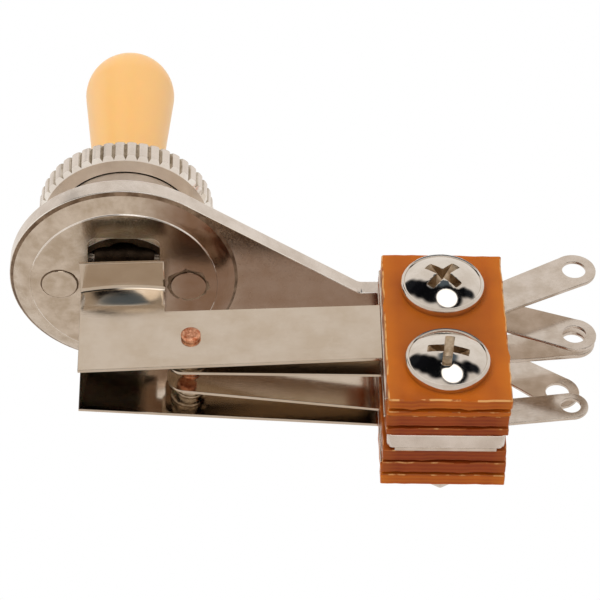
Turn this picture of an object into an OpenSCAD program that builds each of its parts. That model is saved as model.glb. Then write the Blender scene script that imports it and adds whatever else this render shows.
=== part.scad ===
/* [Frame] */
// Thickness of the stamped frame: round end, arm and folded tab
plate_t = 1.75; // [1.5:0.05:2]
// Radius of the frame's round end
round_r = 11.85; // [11:0.05:12.5]
// Angle between the arm's front edge and the arm's length
arm_slope = 33.2; // [31:0.1:35]
// Distance from the lever's axis to the arm's back edge
arm_back = 8.6; // [7:0.1:10]
// Inner radius of the fold between arm and tab
fold_r = 1; // [0.6:0.1:1.2]
// Radius of the blends at the arm's neck
neck_blend = 1.2; // [0.8:0.1:1.6]
// Radius of the tab's two lower corners
tab_corner = 0.6; // [0.3:0.1:1]
// Distance of the tab's edges from the stack's sides
tab_inset = 0.42; // [0.1:0.02:0.8]

/* [Base cap] */
// Height of the round cap under the frame
cap_h = 1.15; // [0.9:0.05:1.6]
// Distance of the cap's edge inside the frame's round end
cap_inset = 0.05; // [0.05:0.05:0.6]
// Radius of the cap's flat face
cap_face_r = 9.65; // [9:0.05:10.2]
// Height of the sharp step round the flat face
cap_step = 0.12; // [0.05:0.01:0.2]
// Turn of the cap's crowned side from the step to the frame, in degrees
crown_turn = 32; // [20:1:40]
// Width of the lever's slot in the cap
slot_w = 7.35; // [6.8:0.05:7.8]
// Length of the lever's slot in the cap
slot_l = 12.8; // [12:0.1:13.4]
// Radius of the slot's corners
slot_corner = 1; // [0.3:0.1:1.2]
// Distance of each staked rivet from the lever's axis
rivet_x = 6.65; // [6.5:0.05:6.9]
// Radius of a staked rivet's head
rivet_head_r = 1.85; // [1.6:0.05:1.95]
// Radius of a staked rivet's shank
rivet_r = 0.9; // [0.7:0.05:0.95]
// Height of a staked rivet's head above the cap
rivet_head_h = 0.16; // [0.1:0.02:0.3]

/* [Bushing and nut] */
// Radius of the collar below the mounting nut
collar_r = 7.1; // [6.8:0.1:7.4]
// Height of the collar
collar_h = 6.5; // [6.2:0.1:7]
// Outer radius of the mounting thread
thread_r = 5.9; // [5.8:0.05:6]
// Depth from the thread's outer radius to its pitch line, where the nut engages it
pitch_d = 0.25; // [0.15:0.05:0.35]
// Length of the mounting thread above the collar
thread_l = 5.2; // [4.8:0.1:5.2]
// Radius of the spigot that is staked into the frame
spigot_r = 5.55; // [5.5:0.01:5.6]
// Radius of the chamber round the lever's hub
chamber_r = 4.45; // [4.35:0.05:4.6]
// Radius of the bore at the bushing's mouth
mouth_r = 4.35; // [4.3:0.05:4.6]
// Number of scallops round the spigot's mouth
scallop_count = 9; // [8:1:11]
// Radius of one scallop
scallop_r = 2.14; // [2:0.02:2.3]
// Distance from the lever's axis to the far side of a scallop
scallop_reach = 4.87; // [4.8:0.01:5]
// Depth of the scallops
scallop_d = 0.8; // [0.4:0.1:1.2]
// Wall of the knurled mounting nut, from the thread's outer radius to the teeth
nut_wall = 3.3; // [2.9:0.1:3.7]
// Height of the mounting nut
nut_h = 2.6; // [2.2:0.1:2.8]
// Number of teeth round the mounting nut
nut_teeth = 46; // [38:1:52]
// Depth of the mounting nut's teeth
tooth_d = 0.5; // [0.35:0.05:0.6]

/* [Lever] */
// Height of the lever's pivot above the frame plate
pivot_h = 1.6; // [1.5:0.05:1.75]
// Radius of the pivot pin
pin_r = 0.8; // [0.6:0.05:1]
// Radius of the lever's hub
hub_r = 2.9; // [2.6:0.1:3]
// Width of the lever's hub
hub_w = 6.2; // [5.6:0.1:6.3]
// Radius of the lever's rod
rod_r = 2.1; // [1.9:0.05:2.15]
// Width of the lever's flat foot
foot_w = 3; // [2.4:0.1:3.6]
// Thickness of the lever's flat foot
foot_t = 1.8; // [1.4:0.1:2]
// Depth of the cam's axis below the frame plate
cam_z = 6.6; // [6.5:0.05:6.7]
// Radius of the cam
cam_r = 2.5; // [2.3:0.05:2.5]
// Width of the cam
cam_w = 6; // [5:0.1:7]
// Height of the tip's lower end above the frame plate
tip_z = 12.7; // [12.6:0.1:14]
// Radius of the tip at its lower end
tip_neck_r = 3.5; // [3.2:0.05:3.8]
// Radius of the tip's round head
tip_r = 4.84; // [4.4:0.02:5.2]
// Height of the centre of the tip's head above the frame plate
tip_head_z = 27.3; // [25:0.1:29]

/* [Stack] */
// Distance from the lever's axis to the stack's near side
stack_x = 26.05; // [25.5:0.05:27]
// Width of the insulating plates
stack_w = 12.55; // [11.8:0.05:13]
// Depth of the insulating plates below the frame plate's top
stack_top = 3.95; // [3.6:0.05:4.6]
// Height of the insulating plates
stack_h = 21.1; // [20.4:0.1:22]
// Depth of the upper screw below the frame plate's top
screw_z = 9.05; // [8.8:0.05:9.4]
// Distance between the two screws
screw_pitch = 10.8; // [10.4:0.1:11.2]
// Thickness of the front insulating plate
front_plate_t = 1.3; // [1:0.05:1.6]
// Thickness of the thin spacer behind the front long leaf
spacer_t = 0.6; // [0.4:0.05:0.8]
// Thickness of the inner insulating plates
inner_plate_t = 1.4; // [1.2:0.05:1.6]
// Thickness of the insulating plate in front of the frame's tab
tab_plate_t = 0.9; // [0.7:0.05:1.2]

/* [Leaves and lugs] */
// Thickness of the spring leaves
leaf_t = 0.35; // [0.25:0.05:0.4]
// Thickness of the ground lug
ground_t = 0.45; // [0.3:0.05:0.6]
// Depth of the leaves' centre line below the frame plate's top
leaf_z = 14.03; // [13.9:0.01:14.2]
// Width of the two long leaves near their free ends
long_w = 8.2; // [7.8:0.05:8.6]
// Width of the front long leaf at the stack
front_root_w = 7.65; // [7.2:0.05:8.2]
// Width of the rear long leaf at the stack
rear_root_w = 8.5; // [8:0.05:8.8]
// Distance by which the long leaves' free ends hang below their centre line at the stack
long_drop = 0.37; // [0.2:0.01:0.5]
// Width of the short leaves at the stack
short_root_w = 7.6; // [7:0.1:8.4]
// Width of the short leaves near their tips
short_tip_w = 6.2; // [5.6:0.1:6.6]
// Radius of a short leaf's tip corners
short_tip_r = 1.6; // [1:0.1:2.4]
// Distance from the lever's axis to the short leaves' tips
short_x = 4.6; // [4:0.1:5]
// Width of the long leaves' flared tabs
flare_w = 8.6; // [7.6:0.1:9]
// Gap between the lever's axis plane and a long leaf at its bend
flare_y = 2.7; // [2.6:0.02:2.8]
// Middle radius of the long leaves' bend
flare_r = 0.6; // [0.5:0.05:0.8]
// Depth of the flared tab's underside at the bend
flare_z = 6.8; // [6.7:0.05:6.9]
// Length of the flared tab past its bend
flare_l = 2.98; // [2.4:0.02:3.2]
// Rise of the flared tab, in degrees
flare_rise = 9; // [4:1:14]
// Distance between a short leaf's tip and the lever's axis plane
short_y = 1.2; // [1.1:0.05:1.3]
// Distance from the lever's axis to the contacts
contact_x = 6.95; // [6.8:0.05:7.4]
// Depth of the contacts below the frame plate's top
contact_z = 14.15; // [14:0.05:14.6]
// Radius of the contact heads
contact_r = 1.75; // [1.4:0.05:2]
// Radius of the contacts' shanks and riveted tails
contact_tail_r = 1; // [0.7:0.05:1.2]
// Height of the contacts' riveted tails
contact_tail_h = 0.6; // [0.3:0.05:0.7]
// Gap between two facing contacts with the lever upright
contact_gap = 0.17; // [0.15:0.01:0.3]
// Radius of the solder lugs' round ends
eye_r = 2.25; // [2.1:0.05:2.4]
// Radius of the rear short leaf's narrower lug
slim_eye_r = 1.78; // [1.76:0.02:2.1]
// Radius of the wire holes in the solder lugs
wire_r = 1.2; // [0.8:0.05:1.3]
// Radius of the wire hole in the narrower lug
slim_wire_r = 1; // [0.7:0.05:1.1]
// Width of the front solder lugs inside the stack
lug_root_w = 3.85; // [3.6:0.05:4]
// Width of the ground lug and the rear solder lugs inside the stack
slim_root_w = 3.45; // [3:0.05:3.5]
// Distance of the ground lug's edges from the stack's sides
ground_inset = 1.2; // [0.2:0.1:1.6]

/* [Fasteners] */
// Radius of the stack screws' shank
screw_r = 1.75; // [1.5:0.05:1.8]
// Radius of the stack screws' heads
head_r = 4.22; // [3.6:0.02:4.5]
// Height of the stack screws' heads
head_h = 2.1; // [1.8:0.1:2.3]
// Height of the rim under the heads' domes
head_rim = 0.6; // [0.4:0.05:0.7]
// Turn of the upper screw's cross recess, in degrees
cross_turn_top = 42; // [0:1:89]
// Turn of the lower screw's cross recess, in degrees
cross_turn_low = 8; // [0:1:89]
// Width across the flats of the hexagon nuts behind the stack
hex_w = 6; // [5.5:0.1:6.5]
// Height of the hexagon nuts
hex_h = 2.4; // [2:0.1:3]
// Wall of the insulating sleeves round the screws
sleeve_wall = 0.7; // [0.5:0.05:0.8]

/* [Hidden] */
$fn = 96;

// Running and seating clearances
run_gap = 0.05;
seat_gap = 0.02;
flex_gap = 0.03;
cut = 1;

// Number of straight steps round the neck's blend and up the cap's side
neck_steps = 8;
cap_steps = 6;

// The origin is on the lever's axis at the mounting nut's upper face
plate_top = -(collar_h + nut_h);
thread_top = collar_h + thread_l;
pitch_r = thread_r - pitch_d;
nut_r = thread_r + nut_wall;
cap_r = round_r - cap_inset;

// Layers of the stack from front to back, each placed against the frame's tab
tab_half = plate_t / 2;
y_4 = -tab_half - tab_plate_t;
y_short_front = y_4 - leaf_t;
y_3 = y_short_front - inner_plate_t;
y_2 = y_3 - spacer_t;
y_long_front = y_2 - leaf_t;
y_1 = y_long_front - front_plate_t;
y_ground = tab_half;
y_5 = y_ground + ground_t;
y_short_rear = y_5 + inner_plate_t;
y_6 = y_short_rear + leaf_t;
y_long_rear = y_6 + inner_plate_t;
y_7 = y_long_rear + leaf_t;
stack_back = y_7 + inner_plate_t;
sleeve_r = screw_r + seat_gap + sleeve_wall;
stack_bottom = -stack_top - stack_h;
tab_x = stack_x + tab_inset;
tab_w = stack_w - 2 * tab_inset;
leaf_low = stack_bottom + 1.6;
screw_x = stack_x + stack_w / 2;
screw_zs = [-screw_z, -screw_z - screw_pitch];

// Middle planes of the leaves where they leave the stack
long_front_y = y_long_front + leaf_t / 2;
short_front_y = y_short_front + leaf_t / 2;
short_rear_y = y_short_rear + leaf_t / 2;
long_rear_y = y_long_rear + leaf_t / 2;

// Reach of the leaves from the stack's near side
long_reach = stack_x + flare_w / 2;
short_reach = stack_x - short_x;
contact_reach = stack_x - contact_x;

// Angle by which a leaf turns inwards so that its free end comes to the wanted distance
function inward(root_y, end_y, reach) = asin((abs(root_y) - end_y) / reach);
long_front_turn = inward(long_front_y, flare_y, long_reach);
short_front_turn = inward(short_front_y, short_y, short_reach);
short_rear_turn = inward(short_rear_y, short_y, short_reach);
long_rear_turn = inward(long_rear_y, flare_y, long_reach);

// Space between two facing leaves at the contacts, and the height of each contact's head
function leaf_y(root_y, turn) = abs(root_y) - contact_reach * sin(turn);
front_space = leaf_y(long_front_y, long_front_turn) - leaf_y(short_front_y, short_front_turn) - leaf_t;
rear_space = leaf_y(long_rear_y, long_rear_turn) - leaf_y(short_rear_y, short_rear_turn) - leaf_t;
front_head = (front_space - contact_gap) / 2;
rear_head = (rear_space - contact_gap) / 2;

// Solder lugs: height where each leaves the stack, then its eye's distance and height
front_long_root = -9.85;
front_short_root = -8.25;
ground_root = -11.1;
rear_short_root = -18.3;
rear_long_root = -7.6;
front_long_eye = [46.15, -4.62];
front_short_eye = [45.85, -11.7];
ground_eye = [46.15, -9.5];
rear_short_eye = [45.55, -17.05];
rear_long_eye = [44.6, -13.35];

// Setback of each insulating plate's near and far edge, as the plates are sawn and stacked
near_setback = [0.2, 0.2, 0.12, 0.14, 0, 0.03, 0];
far_setback = [0, 0.08, 0.2, 0.16, 0.12, 0.05, 0];

// Draws in the frame plate's own height, with its top face at zero
module at_plate() {
    translate([0, 0, plate_top])
        children();
}

// Turns a flat outline drawn in X and Z into a sheet that starts at y and runs back
module sheet_at(y, t) {
    translate([0, y + t, 0])
        rotate([90, 0, 0])
            linear_extrude(height = t)
                children();
}

// Places a leaf at its root, turned inwards; side is -1 in front of the tab and 1 behind it
module at_root(root_y, turn, side) {
    translate([stack_x, root_y, 0])
        rotate([0, 0, side * turn])
            children();
}

// Points of the blend between the arm's sloping edge and its neck, from the slope to the neck
function neck_points(meet_x, neck_y) =
    let (side_l = neck_blend * tan(arm_slope / 2))
    [
        for (i = [0 : neck_steps])
            let (a = 90 + arm_slope * (1 - i / neck_steps))
            [
                meet_x + side_l + neck_blend * cos(a),
                neck_y - neck_blend + neck_blend * sin(a)
            ]
    ];

// Frame: round end, tapering arm and a tab folded down through the stack
module arm_outline() {
    neck_y = tab_half + fold_r;
    edge_r = round_r - seat_gap;
    edge = [edge_r * sin(arm_slope), -edge_r * cos(arm_slope)];
    meet_x = edge[0] + (neck_y - edge[1]) / tan(arm_slope);
    back_turn = asin((edge_r - arm_back) / tab_x);
    difference() {
        union() {
            circle(r = round_r);
            polygon(concat(
                [[0, 0], edge],
                neck_points(meet_x, neck_y),
                [
                    [tab_x + tab_w, neck_y],
                    [tab_x + tab_w, arm_back],
                    [tab_x, arm_back],
                    [edge_r * sin(back_turn), edge_r * cos(back_turn)]
                ]
            ));
        }
        circle(r = spigot_r + seat_gap);
        for (x = [-rivet_x, rivet_x])
            translate([x, 0])
                circle(r = rivet_r + seat_gap);
    }
}

module tab_outline() {
    difference() {
        translate([tab_x, stack_bottom])
            square([tab_w, -stack_bottom - plate_t - fold_r]);
        for (x = [tab_x, tab_x + tab_w - tab_corner])
            translate([x, stack_bottom])
                square(tab_corner);
        for (z = screw_zs)
            translate([screw_x, z])
                circle(r = sleeve_r + seat_gap);
    }
    for (x = [tab_x + tab_corner, tab_x + tab_w - tab_corner])
        translate([x, stack_bottom + tab_corner])
            circle(r = tab_corner);
}

module frame() {
    color("Silver")
        at_plate() {
            translate([0, 0, -plate_t])
                linear_extrude(height = plate_t)
                    arm_outline();
            translate([tab_x, tab_half + fold_r, -plate_t - fold_r])
                rotate([90, 0, 90])
                    linear_extrude(height = tab_w)
                        intersection() {
                            difference() {
                                circle(r = fold_r + plate_t);
                                circle(r = fold_r);
                            }
                            translate([-fold_r - plate_t, 0])
                                square(fold_r + plate_t);
                        }
            sheet_at(-tab_half, plate_t)
                tab_outline();
        }
}

// Points up the cap's crowned side, from the step round its flat face to the frame
function cap_side() =
    let (
        w = cap_r - cap_face_r,
        h = cap_h - cap_step,
        low = atan2(h, w) - crown_turn / 2,
        r = norm([w, h]) / (2 * sin(crown_turn / 2))
    )
    [
        for (i = [0 : cap_steps])
            let (a = low + crown_turn * i / cap_steps)
            [cap_face_r + r * (sin(a) - sin(low)), cap_step + r * (cos(low) - cos(a))]
    ];

// Base cap: shallow crowned disc with the lever's slot
module base_cap() {
    color("Silver")
        at_plate()
            translate([0, 0, -plate_t - cap_h])
                difference() {
                    rotate_extrude()
                        polygon(concat([[0, 0], [cap_face_r, 0]], cap_side(), [[0, cap_h]]));
                    translate([0, 0, -cut])
                        linear_extrude(height = cap_h + 2 * cut)
                            slot_outline();
                    for (x = [-rivet_x, rivet_x])
                        translate([x, 0, -cut])
                            cylinder(r = rivet_r + seat_gap, h = cap_h + 2 * cut);
                }
}

module slot_outline() {
    square([slot_w - 2 * slot_corner, slot_l], center = true);
    square([slot_w, slot_l - 2 * slot_corner], center = true);
    for (sx = [-1, 1], sy = [-1, 1])
        translate([sx * (slot_w / 2 - slot_corner), sy * (slot_l / 2 - slot_corner)])
            circle(r = slot_corner);
}

module cap_rivets() {
    color("Silver")
        at_plate()
            for (x = [-rivet_x, rivet_x])
                translate([x, 0, -plate_t - cap_h]) {
                    translate([0, 0, -rivet_head_h])
                        cylinder(r = rivet_head_r, h = rivet_head_h);
                    cylinder(r = rivet_r, h = cap_h + plate_t - seat_gap);
                }
}

// Bushing: collar, mounting thread and a staked spigot, with room for the lever to swing
module bushing() {
    roof_z = pivot_h + hub_r + 4 * run_gap;
    roof_r = rod_r + (roof_z - pivot_h) * tan(10) + 5 * run_gap;
    lip = 0.5;
    color("Silver")
        at_plate()
            difference() {
                rotate_extrude()
                    polygon([
                        [chamber_r, -plate_t],
                        [spigot_r, -plate_t],
                        [spigot_r, 0],
                        [collar_r, 0],
                        [collar_r, collar_h],
                        [pitch_r, collar_h],
                        [pitch_r, collar_h + nut_h],
                        [thread_r, collar_h + nut_h],
                        [thread_r, thread_top - lip / 2],
                        [thread_r - lip / 2, thread_top],
                        [mouth_r, thread_top],
                        [roof_r, roof_z],
                        [chamber_r, roof_z]
                    ]);
                translate([-collar_r - cut, 0, pivot_h])
                    rotate([0, 90, 0])
                        cylinder(r = pin_r + seat_gap, h = 2 * (collar_r + cut));
                for (i = [0 : scallop_count - 1])
                    rotate([0, 0, -90 + i * 360 / scallop_count])
                        translate([scallop_reach - scallop_r, 0, -plate_t - cut])
                            cylinder(r = scallop_r, h = cut + scallop_d);
            }
}

// Mounting nut: round, with straight knurling and a bevel on both rims
module mounting_nut() {
    bevel = tooth_d * 1.3;
    step = 360 / nut_teeth;
    color("Gainsboro")
        at_plate()
            translate([0, 0, collar_h])
                difference() {
                    intersection() {
                        linear_extrude(height = nut_h)
                            polygon([
                                for (i = [0 : nut_teeth - 1], k = [0 : 3])
                                    let (
                                        r = k < 2 ? nut_r : nut_r - tooth_d,
                                        a = (i + [0.18, 0.52, 0.81, 0.89][k]) * step
                                    )
                                    [r * cos(a), r * sin(a)]
                            ]);
                        rotate_extrude()
                            polygon([
                                [0, 0],
                                [nut_r - bevel, 0],
                                [nut_r + bevel, 2 * bevel],
                                [nut_r + bevel, nut_h - 2 * bevel],
                                [nut_r - bevel, nut_h],
                                [0, nut_h]
                            ]);
                    }
                    translate([0, 0, -cut])
                        cylinder(r = pitch_r + seat_gap, h = nut_h + 2 * cut);
                }
}

// Lever: rod, cross-drilled hub and flat foot
module lever() {
    rod_top = tip_head_z - tip_r;
    color("Gainsboro")
        at_plate()
            difference() {
                union() {
                    translate([0, 0, pivot_h])
                        cylinder(r = rod_r, h = rod_top - pivot_h);
                    translate([-hub_w / 2, 0, pivot_h])
                        rotate([0, 90, 0])
                            cylinder(r = hub_r, h = hub_w);
                    translate([-foot_w / 2, -foot_t / 2, -cam_z - cam_r / 2])
                        cube([foot_w, foot_t, pivot_h + cam_z + cam_r / 2]);
                }
                translate([-hub_w / 2 - cut, 0, pivot_h])
                    rotate([0, 90, 0])
                        cylinder(r = pin_r + run_gap, h = hub_w + 2 * cut);
            }
}

module pivot_pin() {
    pin_l = 2 * (collar_r - 0.3);
    color("DimGray")
        at_plate()
            translate([-pin_l / 2, 0, pivot_h])
                rotate([0, 90, 0])
                    cylinder(r = pin_r, h = pin_l);
}

// Tip: a moulded knob that widens into a round head, screwed on the rod
module lever_tip() {
    lean = asin((tip_r - tip_neck_r) / (tip_head_z - tip_z));
    rim = 0.4;
    color("NavajoWhite")
        at_plate()
            difference() {
                union() {
                    translate([0, 0, tip_head_z])
                        sphere(r = tip_r);
                    translate([0, 0, tip_z + rim])
                        cylinder(
                            r1 = tip_neck_r,
                            r2 = tip_r * cos(lean),
                            h = tip_head_z - tip_r * sin(lean) - tip_z - rim
                        );
                    translate([0, 0, tip_z])
                        cylinder(r1 = tip_neck_r - rim, r2 = tip_neck_r, h = rim);
                }
                translate([0, 0, tip_z - cut])
                    cylinder(r = rod_r + seat_gap, h = tip_head_z - tip_r + seat_gap - tip_z + cut);
            }
}

// Cam: a round nylon bar pressed on the lever's foot, between the flared leaves
module cam() {
    color("Ivory")
        at_plate()
            difference() {
                translate([-cam_w / 2, 0, -cam_z])
                    rotate([0, 90, 0])
                        cylinder(r = cam_r, h = cam_w);
                translate([-foot_w / 2 - seat_gap, -foot_t / 2 - seat_gap, -cam_z - cam_r / 2 - seat_gap])
                    cube([foot_w + 2 * seat_gap, foot_t + 2 * seat_gap, 2 * cam_r]);
            }
}

// Side view of a long leaf's free end: straight leg, bend and flared tab
module flare_profile(side) {
    bend_a = 90 - flare_rise;
    centre_z = -flare_z - flare_r;
    low_z = -leaf_z;
    mirror([side < 0 ? 0 : 1, 0])
        translate([-flare_r, centre_z]) {
            translate([flare_r - leaf_t / 2, low_z - centre_z])
                square([leaf_t, centre_z - low_z]);
            intersection() {
                difference() {
                    circle(r = flare_r + leaf_t / 2);
                    circle(r = flare_r - leaf_t / 2);
                }
                polygon([
                    [0, -seat_gap],
                    [4 * flare_r, -seat_gap],
                    [4 * flare_r, 4 * flare_r],
                    [4 * flare_r * cos(bend_a), 4 * flare_r * sin(bend_a)]
                ]);
            }
            rotate(bend_a)
                translate([flare_r - leaf_t / 2, -seat_gap])
                    square([leaf_t, flare_l + seat_gap]);
        }
}

// Long leaf: a straight strip whose free end is bent outwards round the cam
module long_leaf(root_y, turn, side, root_w) {
    color("LightGray")
        at_plate()
            at_root(root_y, turn, side)
                difference() {
                    union() {
                        translate([-long_reach, 0, 0])
                            rotate([90, 0, 90])
                                linear_extrude(height = flare_w)
                                    flare_profile(side);
                        sheet_at(-leaf_t / 2, leaf_t)
                            translate([0, -leaf_z])
                                polygon([
                                    [-long_reach, -long_w / 2 - long_drop],
                                    [0, -root_w / 2],
                                    [0, root_w / 2],
                                    [-long_reach + flare_w, long_w / 2 - long_drop],
                                    [-long_reach, long_w / 2 - long_drop]
                                ]);
                    }
                    contact_hole();
                }
}

// Short leaf: tapers towards a tip with rounded corners
module short_leaf(root_y, turn, side) {
    bow = short_tip_w / 2 - short_tip_r;
    color("LightGray")
        at_plate()
            at_root(root_y, turn, side)
                difference() {
                    sheet_at(-leaf_t / 2, leaf_t)
                        translate([0, -leaf_z]) {
                            polygon([
                                [0, -short_root_w / 2],
                                [0, short_root_w / 2],
                                [-short_reach + short_tip_r, short_tip_w / 2],
                                [-short_reach + short_tip_r, -short_tip_w / 2]
                            ]);
                            translate([-short_reach, -bow])
                                square([short_tip_r, 2 * bow]);
                            for (z = [-bow, bow])
                                translate([-short_reach + short_tip_r, z])
                                    circle(r = short_tip_r);
                        }
                    contact_hole();
                }
}

module contact_hole() {
    translate([-contact_reach, leaf_t, -contact_z])
        rotate([90, 0, 0])
            cylinder(r = contact_tail_r * 0.8 + seat_gap, h = 2 * leaf_t);
}

// Contact: a copper rivet with a crowned head on one face and an upset tail on the other
module contact(root_y, turn, side, face, head) {
    burr = 0.2;
    color("Peru")
        at_plate()
            at_root(root_y, turn, side)
                translate([-contact_reach, 0, -contact_z])
                    rotate([face * -90, 0, 0]) {
                        translate([0, 0, leaf_t / 2])
                            cylinder(r = contact_r, h = head / 2);
                        translate([0, 0, leaf_t / 2 + head / 2])
                            cylinder(r1 = contact_r, r2 = contact_r * 0.6, h = head / 2);
                        translate([0, 0, -leaf_t / 2])
                            cylinder(r = contact_tail_r * 0.8, h = leaf_t);
                        translate([0, 0, -leaf_t / 2 - contact_tail_h + burr])
                            cylinder(r = contact_tail_r, h = contact_tail_h - burr);
                        translate([0, 0, -leaf_t / 2 - contact_tail_h])
                            cylinder(r1 = contact_tail_r - burr, r2 = contact_tail_r, h = burr);
                    }
}

// Solder lug: the end of a leaf clamped in the stack, drawn out to a round eye
module lug(y, t, root_z, eye, inset, low_z, root_w, end_r, hole_r) {
    root = [stack_x + stack_w - root_w / 2, root_z];
    run = eye - root;
    l = norm(run);
    neck_r = end_r - seat_gap;
    lean = asin((end_r - root_w / 2) / l);
    color("LightGray")
        at_plate()
            sheet_at(y, t)
                difference() {
                    union() {
                        translate([stack_x + inset, low_z])
                            square([stack_w - 2 * inset, -stack_top - 1.2 - low_z]);
                        translate(root)
                            rotate(atan2(run[1], run[0]))
                                polygon([
                                    [0, -root_w / 2],
                                    [l - neck_r * sin(lean), -neck_r * cos(lean)],
                                    [l - neck_r * sin(lean), neck_r * cos(lean)],
                                    [0, root_w / 2]
                                ]);
                        translate(eye)
                            circle(r = end_r);
                    }
                    translate(eye)
                        circle(r = hole_r);
                    for (z = screw_zs)
                        translate([screw_x, z])
                            circle(r = sleeve_r + seat_gap);
                }
}

// Insulating plate of laminated phenolic, punched for the two sleeves
module insulator(i, y, t) {
    color("Chocolate")
        at_plate()
            sheet_at(y, t)
                difference() {
                    translate([stack_x + near_setback[i - 1], stack_bottom])
                        square([stack_w - near_setback[i - 1] - far_setback[i - 1], stack_h]);
                    for (z = screw_zs)
                        translate([screw_x, z])
                            circle(r = sleeve_r + seat_gap);
                }
}

// Runs a child along Y from the stack's front at each screw
module at_screws() {
    at_plate()
        for (z = screw_zs)
            translate([screw_x, y_1, z])
                rotate([-90, 0, 0])
                    children();
}

module screw_sleeves() {
    color("Tan")
        at_screws()
            difference() {
                cylinder(r = sleeve_r, h = stack_back - y_1);
                translate([0, 0, -cut])
                    cylinder(r = screw_r + seat_gap, h = stack_back - y_1 + 2 * cut);
            }
}

// Stack screw: truss head with a cross recess, and a shank that ends past its nut
module stack_screw(cross_turn) {
    dome_h = head_h - head_rim;
    dome_r = (head_r * head_r + dome_h * dome_h) / (2 * dome_h);
    point_l = 0.9;
    cross_w = 0.95;
    cross_l = head_r * 1.06;
    cross_d = head_h * 0.75;
    difference() {
        union() {
            translate([0, 0, -head_rim])
                cylinder(r = head_r, h = head_rim);
            intersection() {
                translate([0, 0, dome_r - head_h])
                    sphere(r = dome_r);
                translate([0, 0, -head_h - cut])
                    cylinder(r = head_r, h = head_h + cut - head_rim);
            }
        }
        rotate([0, 0, cross_turn])
            translate([0, 0, -head_h - cut])
                intersection() {
                    union() {
                        translate([-cross_w / 2, -cross_l / 2, 0])
                            cube([cross_w, cross_l, cross_d + cut]);
                        translate([-cross_l / 2, -cross_w / 2, 0])
                            cube([cross_l, cross_w, cross_d + cut]);
                    }
                    cylinder(r1 = cross_l * 0.85, r2 = cross_w * 0.6, h = cross_d + cut);
                }
    }
    cylinder(r = screw_r, h = stack_back - y_1 + hex_h);
    translate([0, 0, stack_back - y_1 + hex_h])
        cylinder(r1 = screw_r, r2 = screw_r * 0.75, h = point_l);
}

module stack_screws() {
    turns = [cross_turn_top, cross_turn_low];
    color("Gainsboro")
        at_plate()
            for (i = [0, 1])
                translate([screw_x, y_1, screw_zs[i]])
                    rotate([-90, 0, 0])
                        stack_screw(turns[i]);
}

module stack_nuts() {
    color("Gainsboro")
        at_screws()
            translate([0, 0, stack_back - y_1])
                difference() {
                    rotate([0, 0, 30])
                        cylinder(r = hex_w / sqrt(3), h = hex_h, $fn = 6);
                    translate([0, 0, -cut])
                        cylinder(r = screw_r + seat_gap, h = hex_h + 2 * cut);
                }
}

module front_long_leaf() { long_leaf(long_front_y, long_front_turn, -1, front_root_w); }
module front_short_leaf() { short_leaf(short_front_y, short_front_turn, -1); }
module rear_short_leaf() { short_leaf(short_rear_y, short_rear_turn, 1); }
module rear_long_leaf() { long_leaf(long_rear_y, long_rear_turn, 1, rear_root_w); }

module front_long_contact() { contact(long_front_y, long_front_turn, -1, 1, front_head); }
module front_short_contact() { contact(short_front_y, short_front_turn, -1, -1, front_head); }
module rear_short_contact() { contact(short_rear_y, short_rear_turn, 1, 1, rear_head); }
module rear_long_contact() { contact(long_rear_y, long_rear_turn, 1, -1, rear_head); }

module leaf_lug(y, root_z, eye, root_w, end_r, hole_r) {
    lug(y, leaf_t, root_z, eye, flex_gap, leaf_low, root_w, end_r, hole_r);
}

module front_long_lug() {
    leaf_lug(y_long_front, front_long_root, front_long_eye, lug_root_w, eye_r, wire_r);
}
module front_short_lug() {
    leaf_lug(y_short_front, front_short_root, front_short_eye, lug_root_w, eye_r, wire_r);
}
module rear_short_lug() {
    leaf_lug(y_short_rear, rear_short_root, rear_short_eye, slim_root_w, slim_eye_r, slim_wire_r);
}
module rear_long_lug() {
    leaf_lug(y_long_rear, rear_long_root, rear_long_eye, slim_root_w, eye_r, wire_r);
}
module ground_lug() {
    lug(
        y_ground, ground_t, ground_root, ground_eye, ground_inset,
        stack_bottom, slim_root_w, eye_r, wire_r
    );
}

module insulator_1() { insulator(1, y_1, front_plate_t); }
module insulator_2() { insulator(2, y_2, spacer_t); }
module insulator_3() { insulator(3, y_3, inner_plate_t); }
module insulator_4() { insulator(4, y_4, tab_plate_t); }
module insulator_5() { insulator(5, y_5, inner_plate_t); }
module insulator_6() { insulator(6, y_6, inner_plate_t); }
module insulator_7() { insulator(7, y_7, inner_plate_t); }

frame();
base_cap();
cap_rivets();
bushing();
mounting_nut();
lever();
pivot_pin();
lever_tip();
cam();
front_long_leaf();
front_short_leaf();
rear_short_leaf();
rear_long_leaf();
front_long_contact();
front_short_contact();
rear_short_contact();
rear_long_contact();
front_long_lug();
front_short_lug();
rear_short_lug();
rear_long_lug();
ground_lug();
insulator_1();
insulator_2();
insulator_3();
insulator_4();
insulator_5();
insulator_6();
insulator_7();
screw_sleeves();
stack_screws();
stack_nuts();
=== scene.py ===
import math

import bmesh
import bpy
from mathutils import Matrix, Vector, noise


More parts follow.
